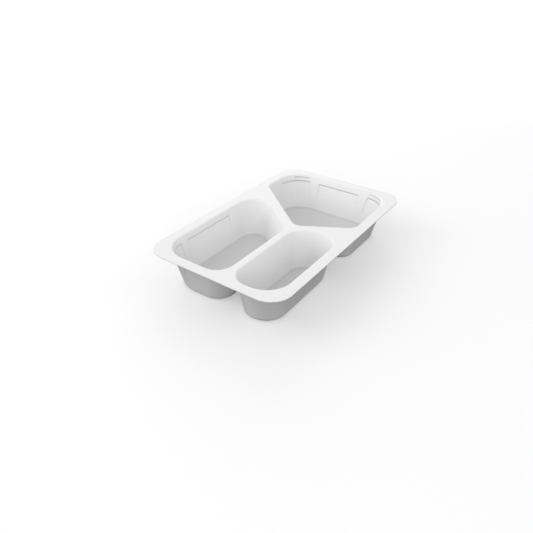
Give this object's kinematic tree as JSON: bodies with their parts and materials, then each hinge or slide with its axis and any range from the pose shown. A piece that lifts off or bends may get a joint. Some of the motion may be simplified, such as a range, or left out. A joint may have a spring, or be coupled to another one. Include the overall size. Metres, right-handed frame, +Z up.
{
  "type": "compartment tray",
  "caption": "Shallow rectangular thermoformed tray: flat rim, Y-shaped web, a pointed main pocket and two side pockets with drafted walls and flat floors.",
  "frame": {"origin": "centre of the bounding box in plan, on the plane the pocket floors stand on", "axes": "+X along the tray towards the pointed main pocket, +Y across towards the long side pocket, +Z up out of the pockets"},
  "size_m": [0.265, 0.162, 0.0433],
  "materials": {
    "white_sheet": "satin, slightly soft sheen of a thermoformed sheet"
  },
  "bodies": {
    "root": {"rim": "white_sheet", "web": "white_sheet", "main_wall": "white_sheet", "main_floor": "white_sheet", "long_wall": "white_sheet", "long_floor": "white_sheet", "short_wall": "white_sheet", "short_floor": "white_sheet"}
  },
  "joints": []
}
